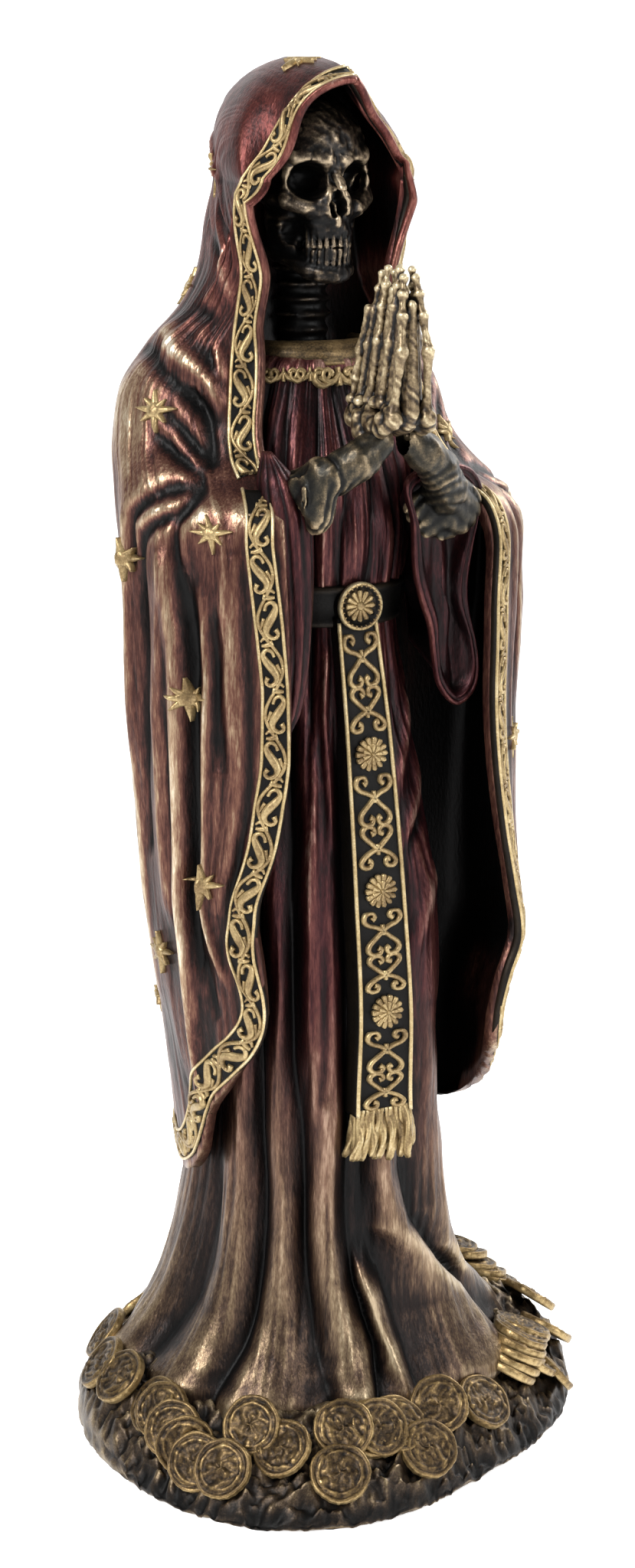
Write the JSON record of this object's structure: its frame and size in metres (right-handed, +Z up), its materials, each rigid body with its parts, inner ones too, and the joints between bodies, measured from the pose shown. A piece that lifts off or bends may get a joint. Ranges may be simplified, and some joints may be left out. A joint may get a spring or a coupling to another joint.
{
  "type": "praying hooded skeleton saint figure",
  "caption": "Standing hooded skeleton with hands joined in prayer, in a long mantle and sashed dress on a mound of coins, cast in one piece.",
  "frame": {"origin": "middle of the underside", "axes": "+Z up through the figure; the figure faces -Y; its own left hand is on the +X side"},
  "size_m": [0.1116, 0.103, 0.2861],
  "materials": {
    "antique_bronze": "antiqued dark bronze, worn bright on the ridges",
    "copper_red_cloth": "metallic dark copper red, brushed, bronze on the ridges",
    "maroon_dress": "metallic deep maroon turning to bronze gold at the hem",
    "antique_gold": "pale antique gold relief on a near black ground",
    "dark_bone": "dark gunmetal dry brushed with pale silver beige",
    "pale_bone": "pale bone gold with dark hollows",
    "forearm_bronze": "greenish grey bronze, dry brushed",
    "coin_gold": "aged gold with dark hollows",
    "ground_bronze": "dark gunmetal bronze, rough"
  },
  "bodies": {
    "root": {"praying_skeleton_figure": "antique_bronze"}
  },
  "joints": []
}
